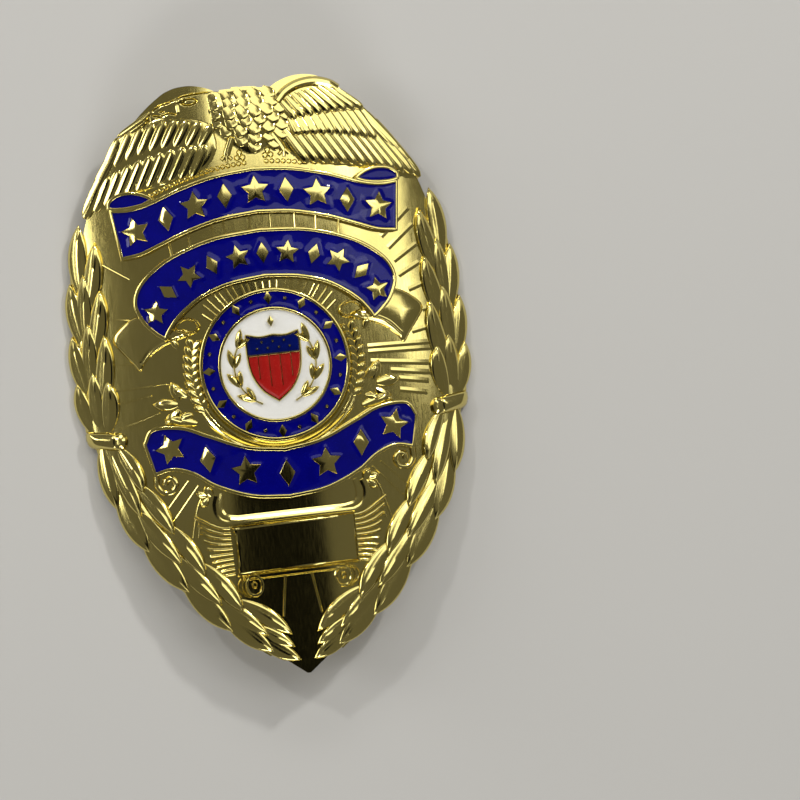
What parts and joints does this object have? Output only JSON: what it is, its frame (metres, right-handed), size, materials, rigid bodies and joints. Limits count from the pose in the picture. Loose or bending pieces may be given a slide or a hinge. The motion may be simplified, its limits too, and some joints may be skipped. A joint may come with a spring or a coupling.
{
  "type": "security badge",
  "caption": "Curved gold badge with an eagle, enamelled ribbons, a centre seal, laurel sprays and a hinged pin with a safety catch on its back.",
  "frame": {"origin": "middle of the badge's width and height, on the surface that it lies on, face up", "axes": "+X to the right as the face is seen, +Y towards the eagle at the top, +Z out of the face"},
  "size_m": [0.054, 0.0794, 0.0095],
  "materials": {
    "gold_plate": "struck brass, gold plated and polished",
    "pin_gold": "drawn wire and stamped findings, gold plated",
    "blue_enamel": "glossy translucent royal blue enamel",
    "white_enamel": "glossy opaque white enamel",
    "red_enamel": "glossy opaque red enamel",
    "dark_blue_enamel": "glossy dark blue enamel"
  },
  "bodies": {
    "root": {"shield": "gold_plate", "enamel_upper": "blue_enamel", "enamel_middle": "blue_enamel", "enamel_lower": "blue_enamel", "enamel_ring": "blue_enamel", "enamel_white": "white_enamel", "enamel_red": "red_enamel", "enamel_chief": "dark_blue_enamel", "hinge_rivet": "pin_gold"},
    "pin": {"pin_stem": "pin_gold"},
    "catch": {"catch_roller": "pin_gold"}
  },
  "joints": [
    {"name": "pin_hinge", "type": "hinge", "parent": "root", "child": "pin", "pos_m": [0, -0.02313, 0.0019], "axis": [-1, 0, 0], "range_deg": [0, 90]},
    {"name": "catch_turn", "type": "hinge", "parent": "root", "child": "catch", "pos_m": [0, 0.03397, 0.0019], "axis": [0, 1, 0], "range_deg": [0, 90]}
  ]
}
